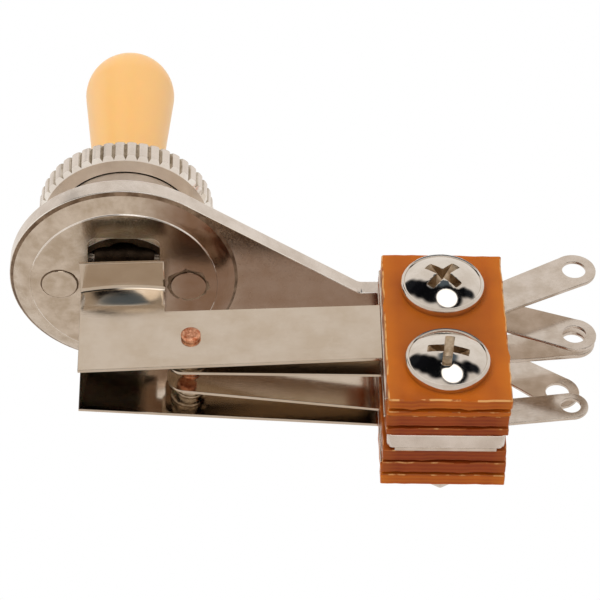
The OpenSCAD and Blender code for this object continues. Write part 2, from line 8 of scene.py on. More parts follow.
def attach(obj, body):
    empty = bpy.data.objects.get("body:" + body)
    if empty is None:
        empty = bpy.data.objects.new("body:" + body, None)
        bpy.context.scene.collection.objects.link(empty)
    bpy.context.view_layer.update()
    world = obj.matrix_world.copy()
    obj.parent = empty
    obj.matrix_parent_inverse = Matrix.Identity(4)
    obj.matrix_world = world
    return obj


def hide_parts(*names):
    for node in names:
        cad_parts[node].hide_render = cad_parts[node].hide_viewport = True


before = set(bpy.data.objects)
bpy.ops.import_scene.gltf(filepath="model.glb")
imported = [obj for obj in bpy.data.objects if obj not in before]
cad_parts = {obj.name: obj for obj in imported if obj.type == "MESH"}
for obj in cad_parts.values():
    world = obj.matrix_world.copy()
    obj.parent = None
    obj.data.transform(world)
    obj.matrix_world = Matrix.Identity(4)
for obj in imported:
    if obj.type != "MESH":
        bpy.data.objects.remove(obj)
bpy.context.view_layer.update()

# Camera: a long lens looking up at the switch from below its screw heads, which shows the
# frame's underside with the screws on the right and the lever's tip at the top.
MM = 0.001
camera = bpy.data.objects.new("camera", bpy.data.cameras.new("camera"))
bpy.context.collection.objects.link(camera)
camera.data.sensor_width = 36
camera.data.lens = 195.4
camera.data.clip_start = 0.01
camera.data.clip_end = 20
camera.matrix_world = (
    Matrix.Translation(Vector((6.817, -231.150, -257.597)) * MM)
    @ Matrix.Rotation(math.radians(-2.815), 4, "Z")
    @ Matrix.Rotation(math.radians(136.466), 4, "X")
    @ Matrix.Rotation(math.radians(-1.359), 4, "Z")
)
bpy.context.scene.camera = camera


# Studio: a light tent over a pale floor. The tent is bright from 40 degrees above the horizon
# and open in front, where a dark room and one round lamp show in the bright nickel.
def linear(code):
    """A colour's linear values from its sRGB hex code."""
    parts = [int(code[i:i + 2], 16) / 255 for i in (1, 3, 5)]
    return [p / 12.92 if p <= 0.04045 else ((p + 0.055) / 1.055) ** 2.4 for p in parts] + [1.0]


def add(tree, kind, inputs=None, **settings):
    """Adds a node with its settings; an input is either a value or another node's output."""
    made = tree.nodes.new("ShaderNode" + kind)
    for key, value in settings.items():
        setattr(made, key, value)
    for key, value in (inputs or {}).items():
        if isinstance(value, bpy.types.NodeSocket):
            tree.links.new(value, made.inputs[key])
        else:
            made.inputs[key].default_value = value
    return made


def light_studio():
    """The tent by direction, with its dark opening and the lamp, and plain white to the camera."""
    world = bpy.data.worlds.new("studio")
    bpy.context.scene.world = world
    world.use_nodes = True
    tree = world.node_tree
    tree.nodes.clear()
    place = add(tree, "TexCoord").outputs["Generated"]
    part = add(tree, "SeparateXYZ", {0: place})
    tent = add(tree, "ValToRGB", {"Fac": part.outputs["Z"]})
    tent.color_ramp.elements[0].position = 0.2
    tent.color_ramp.elements[0].color = linear("#E9E2DC")
    tent.color_ramp.elements[1].position = 0.8
    tent.color_ramp.elements[1].color = linear("#F6F0EA")
    shade = tent.outputs[0]
    opening = [
        (3, 27, 13, "#59646D"), (12, -3, 22, "#0C0D10"), (-14, 4, 17, "#0C0D10"),
        (-28, 16, 16, "#0C0D10"), (-41, 26, 13, "#101115"), (-54, 35, 10, "#1C1E22"),
        (34, 13, 10, "#0C0D10"), (46, 14, 7, "#1C1E22")]
    for turn, rise, spread, code in opening:
        turn, rise = math.radians(turn), math.radians(rise)
        way = (math.sin(turn) * math.cos(rise), -math.cos(turn) * math.cos(rise), math.sin(rise))
        toward = add(tree, "VectorMath", {0: place, 1: way}, operation="DOT_PRODUCT")
        cover = add(tree, "MapRange", {
            "Value": toward.outputs["Value"], "From Min": math.cos(math.radians(spread + 4)),
            "From Max": math.cos(math.radians(spread - 3))}, interpolation_type="SMOOTHSTEP")
        shade = add(tree, "Mix", {
            0: cover.outputs[0], 6: shade, 7: linear(code)}, data_type="RGBA").outputs[2]
    toward = add(tree, "VectorMath", {
        0: place, 1: Vector((0.15, -0.98, -0.08)).normalized()}, operation="DOT_PRODUCT")
    spread = add(tree, "MapRange", {
        "Value": toward.outputs["Value"], "From Min": math.cos(math.radians(18)),
        "From Max": math.cos(math.radians(16))}, interpolation_type="SMOOTHSTEP")
    lit = add(tree, "Mix", {
        0: spread.outputs[0], 6: shade, 7: (1.9, 1.85, 1.8, 1.0)}, data_type="RGBA")
    inside = add(tree, "Background", {"Color": lit.outputs[2], "Strength": 1.0})
    white = add(tree, "Background", {"Color": linear("#FFFFFF"), "Strength": 1.0})
    seen = add(tree, "LightPath").outputs["Is Camera Ray"]
    both = add(tree, "MixShader", {0: seen, 1: inside.outputs[0], 2: white.outputs[0]})
    add(tree, "OutputWorld", {"Surface": both.outputs[0]})


def area_light(name, place, target, width, power, code):
    lamp = bpy.data.lights.new(name, "AREA")
    lamp.shape = "DISK"
    lamp.size = width
    lamp.energy = power
    lamp.color = linear(code)[:3]
    made = bpy.data.objects.new(name, lamp)
    bpy.context.collection.objects.link(made)
    made.location = place
    made.rotation_euler = (Vector(target) - Vector(place)).to_track_quat("-Z", "Y").to_euler()
    made.visible_camera = False
    made.visible_glossy = False
    return made


def floor():
    sheet = bmesh.new()
    bmesh.ops.create_circle(sheet, cap_ends=True, segments=64, radius=2.0)
    bmesh.ops.translate(sheet, verts=sheet.verts, vec=(0, 0, -1.0))
    mesh = bpy.data.meshes.new("floor")
    sheet.to_mesh(mesh)
    sheet.free()
    made = bpy.data.objects.new("floor", mesh)
    bpy.context.collection.objects.link(made)
    paint = bpy.data.materials.new("floor_paper")
    paint.use_nodes = True
    shader = paint.node_tree.nodes["Principled BSDF"]
    shader.inputs["Base Color"].default_value = linear("#F6F2EF")
    shader.inputs["Roughness"].default_value = 0.9
    mesh.materials.append(paint)


light_studio()
area_light("key_lamp", (-0.20, -0.60, 0.10), (0.02, 0, -0.01), 0.40, 1.5, "#FFF6EC")
floor()
bpy.context.scene.view_settings.view_transform = "Standard"


# Frame: one blank of steel strip about 1.75 mm thick, stamped, folded and nickel plated. The
# plating is thin and slightly brown, with faint rubbing marks from the tumbling barrel.
def shaded(name):
    """A new material with its tree, its shader and the piece's own coordinates."""
    made = bpy.data.materials.new(name)
    made.use_nodes = True
    tree = made.node_tree
    shader = tree.nodes["Principled BSDF"]
    return made, tree, shader, add(tree, "TexCoord").outputs["Object"]


def nickel_plate(name, light, dark, rough, stretch=(1, 1, 1), cloud=4.0, grain=0.12, depth=0.1,
                 brown=None):
    """Nickel: cloudy in patches of cloud mm, rubbed in lines of grain mm, with painted shade: brown mixed in
    past one place along X.
    """
    made, tree, shader, place = shaded(name)
    turned = add(tree, "Mapping", {"Vector": place, "Scale": stretch}).outputs[0]
    patch = add(tree, "TexNoise", {
        "Vector": place, "Scale": 1 / (cloud * MM), "Detail": 5.0, "Roughness": 0.6})
    tint = add(tree, "ValToRGB", {"Fac": patch.outputs["Fac"]})
    tint.color_ramp.elements[0].position = 0.36
    tint.color_ramp.elements[0].color = linear(dark)
    tint.color_ramp.elements[1].position = 0.62
    tint.color_ramp.elements[1].color = linear(light)
    skin = tint.outputs[0]
    # brown paints shade: the nickel turns brown past a place along X.
    if brown:
        along = add(tree, "SeparateXYZ", {0: place}).outputs["X"]
        painted_shade_amount = add(tree, "MapRange", {
            "Value": along, "From Min": brown[0] * MM, "From Max": brown[1] * MM,
            "To Max": brown[2]}, interpolation_type="SMOOTHSTEP")
        skin = add(tree, "Mix", {
            0: painted_shade_amount.outputs[0], 6: skin, 7: linear(brown[3])}, data_type="RGBA").outputs[2]
    tree.links.new(skin, shader.inputs["Base Color"])
    rub = add(tree, "TexNoise", {
        "Vector": turned, "Scale": 1 / (grain * MM), "Detail": 3.0, "Roughness": 0.55})
    worn = add(tree, "MapRange", {
        "Value": rub.outputs["Fac"], "From Min": 0.3, "From Max": 0.7,
        "To Min": rough * 0.75, "To Max": rough * 1.3})
    tree.links.new(worn.outputs[0], shader.inputs["Roughness"])
    relief = add(tree, "Bump", {
        "Height": rub.outputs["Fac"], "Strength": depth, "Distance": 0.02 * MM})
    tree.links.new(relief.outputs[0], shader.inputs["Normal"])
    shader.inputs["Metallic"].default_value = 1.0
    return made


def shown(name, shape, finishes, body, nodes=(), smooth=38):
    """Makes a piece from a bmesh: smooth but for its sharp edges, riding on its CAD body."""
    for face in shape.faces:
        face.smooth = True
    for edge in shape.edges:
        if len(edge.link_faces) == 2:
            edge.smooth = edge.calc_face_angle() < math.radians(smooth)
    mesh = bpy.data.meshes.new(name)
    shape.to_mesh(mesh)
    shape.free()
    for finish in finishes:
        mesh.materials.append(finish)
    made = bpy.data.objects.new(name, mesh)
    bpy.context.collection.objects.link(made)
    weighted = made.modifiers.new("face_weighted", "WEIGHTED_NORMAL")
    weighted.keep_sharp = True
    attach(made, body)
    if nodes:
        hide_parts(*nodes)
    return made


def solid_of(node):
    """A node's mesh, merged into whole flat faces."""
    shape = bmesh.new()
    shape.from_mesh(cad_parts[node].data)
    bmesh.ops.remove_doubles(shape, verts=shape.verts, dist=0.003 * MM)
    bmesh.ops.dissolve_limit(
        shape, angle_limit=math.radians(0.4), verts=shape.verts, edges=shape.edges)
    return shape


def soften(shape, edge, angle=28, segments=2, edges=None):
    """Rounds the edges that a press or a cutter leaves sharp."""
    sharp = [e for e in edges or shape.edges
             if len(e.link_faces) == 2 and e.calc_face_angle() > math.radians(angle)]
    bmesh.ops.bevel(
        shape, geom=sharp, offset=edge, offset_type="OFFSET", affect="EDGES",
        segments=segments, profile=0.5, material=-1, clamp_overlap=True)


frame_plate = nickel_plate(
    "frame_nickel_plate", "#E2DAD2", "#D0C6BC", 0.18, cloud=3, grain=0.25, depth=0.06)
# The frame's underside gets a darker copy of the plating that browns towards the arm: painted shade.
frame_painted_shade = nickel_plate(
    "nickel_plate_painted_shade", "#D6CABC", "#C2B3A2", 0.22, cloud=2.5, grain=0.25, depth=0.08,
    brown=(5, 13, 0.72, "#7A5840"))
def paint_edge_highlight(shape, index, width=0.12):
    """Gives the narrow faces that soften makes the material with this index, for a painted highlight along the
    bevels.
    """
    for face in shape.faces:
        slim = face.calc_area() / max(e.calc_length() for e in face.edges) < width * MM
        if slim and min(abs(face.normal.y), abs(face.normal.z)) > 0.15:
            face.material_index = index


# A brighter, smoother nickel for narrow bevels and the nut's lower chamfer: painted highlight.
highlight_edge_plate = nickel_plate("nickel_painted_edge_highlight", "#FFFDF8", "#F2EDE6", 0.10, grain=0.3, depth=0.05)
frame_satin = nickel_plate(
    "satin_nickel_plate", "#EDE6DD", "#DDD3C7", 0.42, cloud=3, grain=0.25, depth=0.06)
blank = solid_of("frame")
soften(blank, 0.14 * MM)
# Faces underneath take the painted-shade copy; faces on top take the satin plate.
for face in blank.faces:
    under = face.normal.z < -0.8 and face.calc_center_median().z > -14 * MM
    face.material_index = 2 if face.normal.z > 0.8 else int(under)
paint_edge_highlight(blank, 3)
shown("frame_plate", blank, [frame_plate, frame_painted_shade, frame_satin, highlight_edge_plate], "base", ["frame"])


# Base cap: a disc drawn from thin nickel-plated sheet, with a crowned side and a polished flat
# face, staked to the frame with two rivets. The lever's foot comes out through its slot.
# The cap's plating browns from x = 0 to 7 mm, over its right side: painted shade.
cap_plate = nickel_plate(
    "cap_polished_nickel", "#D6CABB", "#BDAE9B", 0.19, cloud=1.6, grain=0.2, depth=0.08,
    brown=(0, 7, 0.85, "#7A5840"))
# Darker nickel for the cap's crown just under the frame and for the rings round the rivets: painted shade.
groove_shade_plate = nickel_plate("nickel_painted_groove_shade", "#6E5A48", "#9A8570", 0.5, cloud=1.2, depth=0.3)
groove_shade_low = -11.12
cap = solid_of("base_cap")
soften(cap, 0.10 * MM, angle=24)
bmesh.ops.bisect_plane(
    cap, geom=list(cap.verts) + list(cap.edges) + list(cap.faces), dist=1e-7,
    plane_co=(0, 0, groove_shade_low * MM), plane_no=(0, 0, 1))
paint_edge_highlight(cap, 2)
# Downward faces of the crown next to the frame take the painted shade.
for face in cap.faces:
    if face.calc_center_median().z > groove_shade_low * MM and face.normal.z < -0.1:
        face.material_index = 1
shown("cap_shell", cap, [cap_plate, groove_shade_plate, highlight_edge_plate], "base", ["base_cap"])

rivets = solid_of("cap_rivets")
soften(rivets, 0.10 * MM, angle=40)
cap_face = -12.0
rivet_x = 6.65
# The rough ring round each rivet head takes the painted shade.
for side in (-1, 1):
    ring = []
    for i in range(48):
        turn = math.tau * i / 48
        way = Vector((math.cos(turn), math.sin(turn), 0))
        rough = 0.16 * noise.noise(way * 4 + Vector((side * 3, 0, 0)))
        inner, outer = 1.86 + rough * 0.3, 1.98 + rough * 0.4
        if side > 0:
            outer = 2.14 + rough * 2.2
        ring.append([rivets.verts.new((way * r + Vector((side * rivet_x, 0, cap_face - lift))) * MM)
                     for r, lift in ((inner, 0.01), ((inner + outer) / 2, 0.05), (outer, 0.01))])
    for this, following in zip(ring, ring[1:] + ring[:1]):
        for a, b in ((0, 1), (1, 2)):
            face = rivets.faces.new((this[a], following[a], following[b], this[b]))
            face.normal_update()
            if face.normal.z > 0:
                face.normal_flip()
            face.material_index = 1
shown("cap_rivet_pair", rivets, [cap_plate, groove_shade_plate], "base", ["cap_rivets"])


# Bushing: turned brass, nickel plated, with a plain collar, an M12 thread for the panel and a
# spigot staked into the frame. The thread's crests are slightly worn bright by the nut.
def spun(profile, steps, closed=True):
    """A turned shape: the profile's points, radius and height in mm, spun round the lever's axis."""
    shape = bmesh.new()
    line = [shape.verts.new((r * MM, 0, z * MM)) for r, z in profile]
    for a, b in zip(line, line[1:] + ([line[0]] if closed else [])):
        shape.edges.new((a, b))
    bmesh.ops.spin(
        shape, geom=list(shape.verts) + list(shape.edges), cent=(0, 0, 0), axis=(0, 0, 1),
        dvec=(0, 0, 0), angle=math.tau, steps=steps, use_merge=True, use_duplicate=False)
    bmesh.ops.remove_doubles(shape, verts=shape.verts, dist=0.001 * MM)
    bmesh.ops.recalc_face_normals(shape, faces=shape.faces)
    return shape


turned_plate = nickel_plate(
    "turned_nickel", "#FFF9F1", "#F2E9DF", 0.45, (1, 1, 6), grain=0.3, depth=0.05)
# A dark nickel for the bore inside the bushing: painted shade.
bore_nickel_painted_shade = nickel_plate("bore_nickel_painted_shade", "#4A3B2E", "#2C231B", 0.30, cloud=1.5)
bushing = solid_of("bushing")
bmesh.ops.bisect_plane(
    bushing, geom=list(bushing.verts) + list(bushing.edges) + list(bushing.faces),
    dist=1e-7, plane_co=(0, 0, 0), plane_no=(0, 0, 1), clear_outer=True)
soften(bushing, 0.12 * MM)
for face in bushing.faces:
    middle = face.calc_center_median()
    face.material_index = int(math.hypot(middle.x, middle.y) < 5.2 * MM)
shown("bushing_body", bushing, [turned_plate, bore_nickel_painted_shade], "base",
      ["bushing"])

thread_r = 5.9
thread_depth = 0.38
thread_pitch = 0.75
mouth_r = 4.35
thread_top = 2.6
pitches = round((thread_top + 3 * thread_pitch) / thread_pitch)
ridge = []
for i in range(pitches):
    low = -1.5 * thread_pitch + i * thread_pitch
    ridge += [
        (thread_r - thread_depth, low), (thread_r - thread_depth, low + 0.08),
        (thread_r, low + 0.335), (thread_r, low + 0.415), (thread_r - thread_depth, low + 0.67)]
shape = bmesh.new()
line = [shape.verts.new((r * MM, 0, z * MM)) for r, z in ridge]
for a, b in zip(line, line[1:]):
    shape.edges.new((a, b))
turns = 96
bmesh.ops.spin(
    shape, geom=list(shape.verts) + list(shape.edges), cent=(0, 0, 0), axis=(0, 0, 1),
    dvec=(0, 0, thread_pitch * MM / turns), angle=math.tau, steps=turns,
    use_merge=False, use_duplicate=False)
bmesh.ops.remove_doubles(shape, verts=shape.verts, dist=0.002 * MM)
for height, way in ((0.0, -1), (thread_top - 0.05, 1)):
    cut = bmesh.ops.bisect_plane(
        shape, geom=list(shape.verts) + list(shape.edges) + list(shape.faces),
        dist=1e-7, plane_co=(0, 0, height * MM), plane_no=(0, 0, way), clear_outer=True)
rim = [e for e in shape.edges if e.is_boundary and all(v.co.z > 2 * MM for v in e.verts)]
raised = bmesh.ops.extrude_edge_only(shape, edges=rim)
for v in [g for g in raised["geom"] if isinstance(g, bmesh.types.BMVert)]:
    v.co = Vector((v.co.x, v.co.y, 0)).normalized() * (thread_r - 0.5) * MM
    v.co.z = thread_top * MM
rim = [g for g in raised["geom"] if isinstance(g, bmesh.types.BMEdge)]
raised = bmesh.ops.extrude_edge_only(shape, edges=rim)
for v in [g for g in raised["geom"] if isinstance(g, bmesh.types.BMVert)]:
    v.co = Vector((v.co.x, v.co.y, 0)).normalized() * mouth_r * MM
    v.co.z = (thread_top - 0.1) * MM
rim = [g for g in raised["geom"] if isinstance(g, bmesh.types.BMEdge)]
raised = bmesh.ops.extrude_edge_only(shape, edges=rim)
for v in [g for g in raised["geom"] if isinstance(g, bmesh.types.BMVert)]:
    v.co.z = 0
bmesh.ops.recalc_face_normals(shape, faces=shape.faces)
shown("bushing_thread", shape, [turned_plate], "base", smooth=25)


# Mounting nut: turned, straight-knurled round its edge and nickel plated. Its teeth catch the light one by one;
# their lower chamfer is a painted highlight, and their groove walls are darkened with painted shade.
nut_plate = nickel_plate("knurled_nickel", "#E6DED6", "#D8CFC6", 0.17, grain=0.3, depth=0.05)
nut_groove_shade_plate = nickel_plate("nickel_painted_nut_groove_shade", "#D2C9BD", "#B0A595", 0.2, cloud=1.0)
nut_r = 9.2
nut_low = -2.6
nut_h = 2.6
edge_cut = 0.42
teeth = 46
hole_r = 5.67
collar_r = 7.15
tooth = [(0.0, 0.0), (0.17, 0.0), (0.32, 0.07), (0.5, 0.36), (0.64, 0.07), (0.82, 0.0)]
nut = bmesh.new()
rings = []
for level in range(9):
    ring = []
    for i in range(teeth):
        for phase, sunk in tooth:
            turn = math.tau * (i + phase) / teeth
            r, z = (
                (nut_r - edge_cut, 0.0), (nut_r - sunk, edge_cut - sunk + 0.02),
                (nut_r - sunk, nut_h - 0.12 + 0.3 * sunk), (nut_r - 0.4, nut_h),
                (hole_r + 0.4, nut_h), (hole_r, nut_h - 0.4), (hole_r, 0.4), (collar_r, 0.12),
                (collar_r + 0.12, 0.0))[level]
            ring.append(nut.verts.new(Vector((
                r * math.cos(turn), r * math.sin(turn), nut_low + z)) * MM))
    rings.append(ring)
for level, (lower, upper) in enumerate(zip(rings, rings[1:] + rings[:1])):
    for i in range(len(lower)):
        j = (i + 1) % len(lower)
        face = nut.faces.new((lower[i], lower[j], upper[j], upper[i]))
        # Groove walls take the painted shade, and the lower chamfer takes the painted highlight.
        in_groove = level == 1 and i % len(tooth) in (2, 3)
        face.material_index = 2 if in_groove else int(level == 0)
bmesh.ops.recalc_face_normals(nut, faces=nut.faces)
shown("knurled_nut", nut, [nut_plate, highlight_edge_plate, nut_groove_shade_plate], "base",
      ["mounting_nut"], smooth=20)


# Lever and pivot pin: turned steel, the lever cross-drilled at its hub with a milled flat foot,
# on a plain hardened pin pressed across the bushing.
bright_steel = nickel_plate("turned_steel", "#BDB6AE", "#A39A90", 0.26, (1, 1, 8), grain=0.3)
# A dark steel for the lever's hub and foot inside the bushing: painted shade.
foot_steel_painted_shade = nickel_plate("foot_steel_painted_shade", "#40352B", "#2A221B", 0.32, cloud=1.5)
lever = solid_of("lever")
soften(lever, 0.15 * MM)
for face in lever.faces:
    face.material_index = int(face.calc_center_median().z < -4.4 * MM)
shown("lever_rod", lever, [bright_steel, foot_steel_painted_shade], "toggle", ["lever"])
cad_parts["pivot_pin"].data.materials.clear()
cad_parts["pivot_pin"].data.materials.append(bright_steel)


# Lever tip: a knob of amber plastic, moulded in a polished die and screwed on the rod, glossy
# and slightly translucent, with a faint parting line.
def amber_plastic():
    """Moulded acrylic: an even cream-amber body that lets a little light through."""
    made, tree, shader, place = shaded("amber_moulded_plastic")
    cloud = add(tree, "TexNoise", {"Vector": place, "Scale": 1 / (9 * MM), "Detail": 2.0})
    tint = add(tree, "ValToRGB", {"Fac": cloud.outputs["Fac"]})
    tint.color_ramp.elements[0].color = linear("#FFC87E")
    tint.color_ramp.elements[1].color = linear("#FFCE8A")
    tree.links.new(tint.outputs[0], shader.inputs["Base Color"])
    fine = add(tree, "TexNoise", {"Vector": place, "Scale": 1 / (2.5 * MM), "Detail": 2.0})
    gloss = add(tree, "MapRange", {"Value": fine.outputs["Fac"], "To Min": 0.26, "To Max": 0.34})
    tree.links.new(gloss.outputs[0], shader.inputs["Roughness"])
    shader.inputs["IOR"].default_value = 1.49
    shader.inputs["Subsurface Weight"].default_value = 0.35
    shader.inputs["Subsurface Radius"].default_value = (1.0, 0.5, 0.2)
    shader.inputs["Subsurface Scale"].default_value = 2.0 * MM
    return made


tip_low = 3.6
tip_neck_r = 3.5
tip_r = 4.84
head_z = 18.2
rod_r = 2.1
lean = math.asin((tip_r - tip_neck_r) / (head_z - tip_low))
profile = [(rod_r + 0.05, tip_low + 1.2), (rod_r + 0.12, tip_low + 0.15), (rod_r + 0.3, tip_low)]
profile += [(tip_neck_r - 0.35, tip_low), (tip_neck_r - 0.08, tip_low + 0.12),
            (tip_neck_r, tip_low + 0.45)]
flank = (tip_r * math.cos(lean), head_z - tip_r * math.sin(lean))
for i in range(1, 9):
    t = i / 9
    profile.append((
        tip_neck_r + (flank[0] - tip_neck_r) * t,
        tip_low + 0.45 + (flank[1] - tip_low - 0.45) * t))
for i in range(25):
    a = -lean + (math.pi / 2 + lean) * i / 24
    profile.append((max(tip_r * math.cos(a), 0.0), head_z + tip_r * math.sin(a)))
knob = spun(profile, 72, closed=False)
shown("tip_knob", knob, [amber_plastic()], "toggle", ["lever_tip"])


# Cam: a round bar of natural nylon pressed on the lever's foot, that pushes the long leaves'
# flared ends apart. It is waxy and slightly dulled where the leaves rub.
def nylon():
    """Natural nylon: milky, waxy and nearly matte."""
    made, tree, shader, place = shaded("natural_nylon")
    cloud = add(tree, "TexNoise", {"Vector": place, "Scale": 1 / (1.5 * MM), "Detail": 4.0})
    tint = add(tree, "ValToRGB", {"Fac": cloud.outputs["Fac"]})
    tint.color_ramp.elements[0].color = linear("#D9D2BE")
    tint.color_ramp.elements[1].color = linear("#ECE7D8")
    tree.links.new(tint.outputs[0], shader.inputs["Base Color"])
    relief = add(tree, "Bump", {
        "Height": cloud.outputs["Fac"], "Strength": 0.2, "Distance": 0.02 * MM})
    tree.links.new(relief.outputs[0], shader.inputs["Normal"])
    shader.inputs["Roughness"].default_value = 0.5
    shader.inputs["Subsurface Weight"].default_value = 0.2
    shader.inputs["Subsurface Scale"].default_value = 1.0 * MM
    return made


cam = solid_of("cam")
soften(cam, 0.2 * MM)
shown("cam_bar", cam, [nylon()], "toggle", ["cam"])


# Spring leaves: rolled nickel-silver strip 0.35 mm thick, blanked and bent. Rolling leaves fine
# lines along the strip, and handling leaves faint yellow-brown stains.
leaf_strip = nickel_plate(
    "rolled_nickel_silver", "#CEC2B3", "#C6B8A6", 0.12, (0.06, 1, 1), cloud=3.5, grain=0.1,
    depth=0.02)
# A copy of the strip that darkens nearly to black below x = 3 mm, on the rear long leaf's front face: painted
# shade.
leaf_strip_painted_shade = nickel_plate(
    "nickel_silver_painted_shade", "#D9CFC2", "#CFC3B3", 0.10, (0.06, 1, 1), cloud=3.5, grain=0.1,
    depth=0.02, brown=(3.0, 1.4, 0.95, "#3A332E"))
leg_low, leg_bend, flare_half, bulge = -18.6, -16.5, 4.3, 0.40


def bulge_leg(shape, way):
    """Pushes the leg's top outwards in the middle, as the bending punch leaves it."""
    planes = [((x, 0, 0), (1, 0, 0)) for x in range(-4, 5)]
    planes += [((0, 0, leg_low + i * 0.3), (0, 0, 1)) for i in range(8)]
    for spot, normal in planes:
        near = [f for f in shape.faces if min(v.co.x for v in f.verts) < flare_half * MM]
        parts = {e for f in near for e in f.edges} | {v for f in near for v in f.verts}
        bmesh.ops.bisect_plane(
            shape, geom=near + list(parts), dist=1e-7, plane_co=Vector(spot) * MM,
            plane_no=normal)
    for v in shape.verts:
        x, z = v.co.x / MM, v.co.z / MM
        if abs(x) < flare_half and z > leg_low:
            lift = min(1.0, (z - leg_low) / (leg_bend - leg_low)) ** 1.5
            lift *= max(0.0, 1 - max(0.0, abs(v.co.y) / MM - 3.6) / 1.6)
            v.co.y += way * bulge * MM * lift * (1 - (x / flare_half) ** 2)


for side in ("front", "rear"):
    for reach in ("long", "short"):
        leaf = solid_of(f"{side}_{reach}_leaf")
        if reach == "long":
            bulge_leg(leaf, -1 if side == "front" else 1)
        soften(leaf, 0.05 * MM, angle=40)
        for face in leaf.faces:
            face.material_index = int((side, reach) == ("rear", "long") and face.normal.y < -0.3)
        shown(f"{side}_{reach}_strip", leaf, [leaf_strip, leaf_strip_painted_shade], f"{side}_{reach}_spring",
              [f"{side}_{reach}_leaf"])


# Contacts: bare copper rivets, domed where they meet and hammered over at the tail, so that the
# tails are rough and catch the light in specks.
def copper():
    """Hammered copper: bright orange on its peaks and darker in its pits."""
    made, tree, shader, place = shaded("hammered_copper")
    pits = add(tree, "TexNoise", {
        "Vector": place, "Scale": 1 / (0.35 * MM), "Detail": 4.0, "Roughness": 0.65})
    tint = add(tree, "ValToRGB", {"Fac": pits.outputs["Fac"]})
    tint.color_ramp.elements[0].position = 0.38
    tint.color_ramp.elements[0].color = linear("#C66F49")
    tint.color_ramp.elements[1].position = 0.6
    tint.color_ramp.elements[1].color = linear("#FFC4A0")
    tree.links.new(tint.outputs[0], shader.inputs["Base Color"])
    relief = add(tree, "Bump", {
        "Height": pits.outputs["Fac"], "Strength": 0.8, "Distance": 0.12 * MM})
    tree.links.new(relief.outputs[0], shader.inputs["Normal"])
    shader.inputs["Metallic"].default_value = 1.0
    shader.inputs["Roughness"].default_value = 0.32
    return made


hammered_copper = copper()
contact_silver = nickel_plate("contact_silver", "#E4DCD0", "#A89C8C", 0.14, cloud=0.7, depth=0.2)
tail_h = 0.65
for side in ("front", "rear"):
    for reach in ("long", "short"):
        contact = solid_of(f"{side}_{reach}_contact")
        soften(contact, 0.06 * MM, angle=25)
        way = -1 if (side == "front") == (reach == "long") else 1
        tail_end = max(way * v.co.y for v in contact.verts)
        for face in contact.faces:
            face.material_index = int(way * face.calc_center_median().y < tail_end - tail_h * MM)
        shown(f"{side}_{reach}_rivet", contact, [hammered_copper, contact_silver], f"{side}_{reach}_spring",
              [f"{side}_{reach}_contact"])


# Solder lugs: the same strip, blanked with a round eye for the wire and clamped in the stack.
# They are a little brighter than the leaves, with smears from handling.
lug_strip = nickel_plate(
    "blanked_nickel_silver", "#D9CFC5", "#C9BDB0", 0.16, (0.3, 1, 1), cloud=1.6, grain=0.15,
    depth=0.03)
for lug in ("front_long_lug", "front_short_lug", "rear_short_lug", "rear_long_lug", "ground_lug"):
    blade = solid_of(lug)
    soften(blade, 0.08 * MM, angle=40)
    shown(lug + "_blade", blade, [lug_strip], "base", [lug])


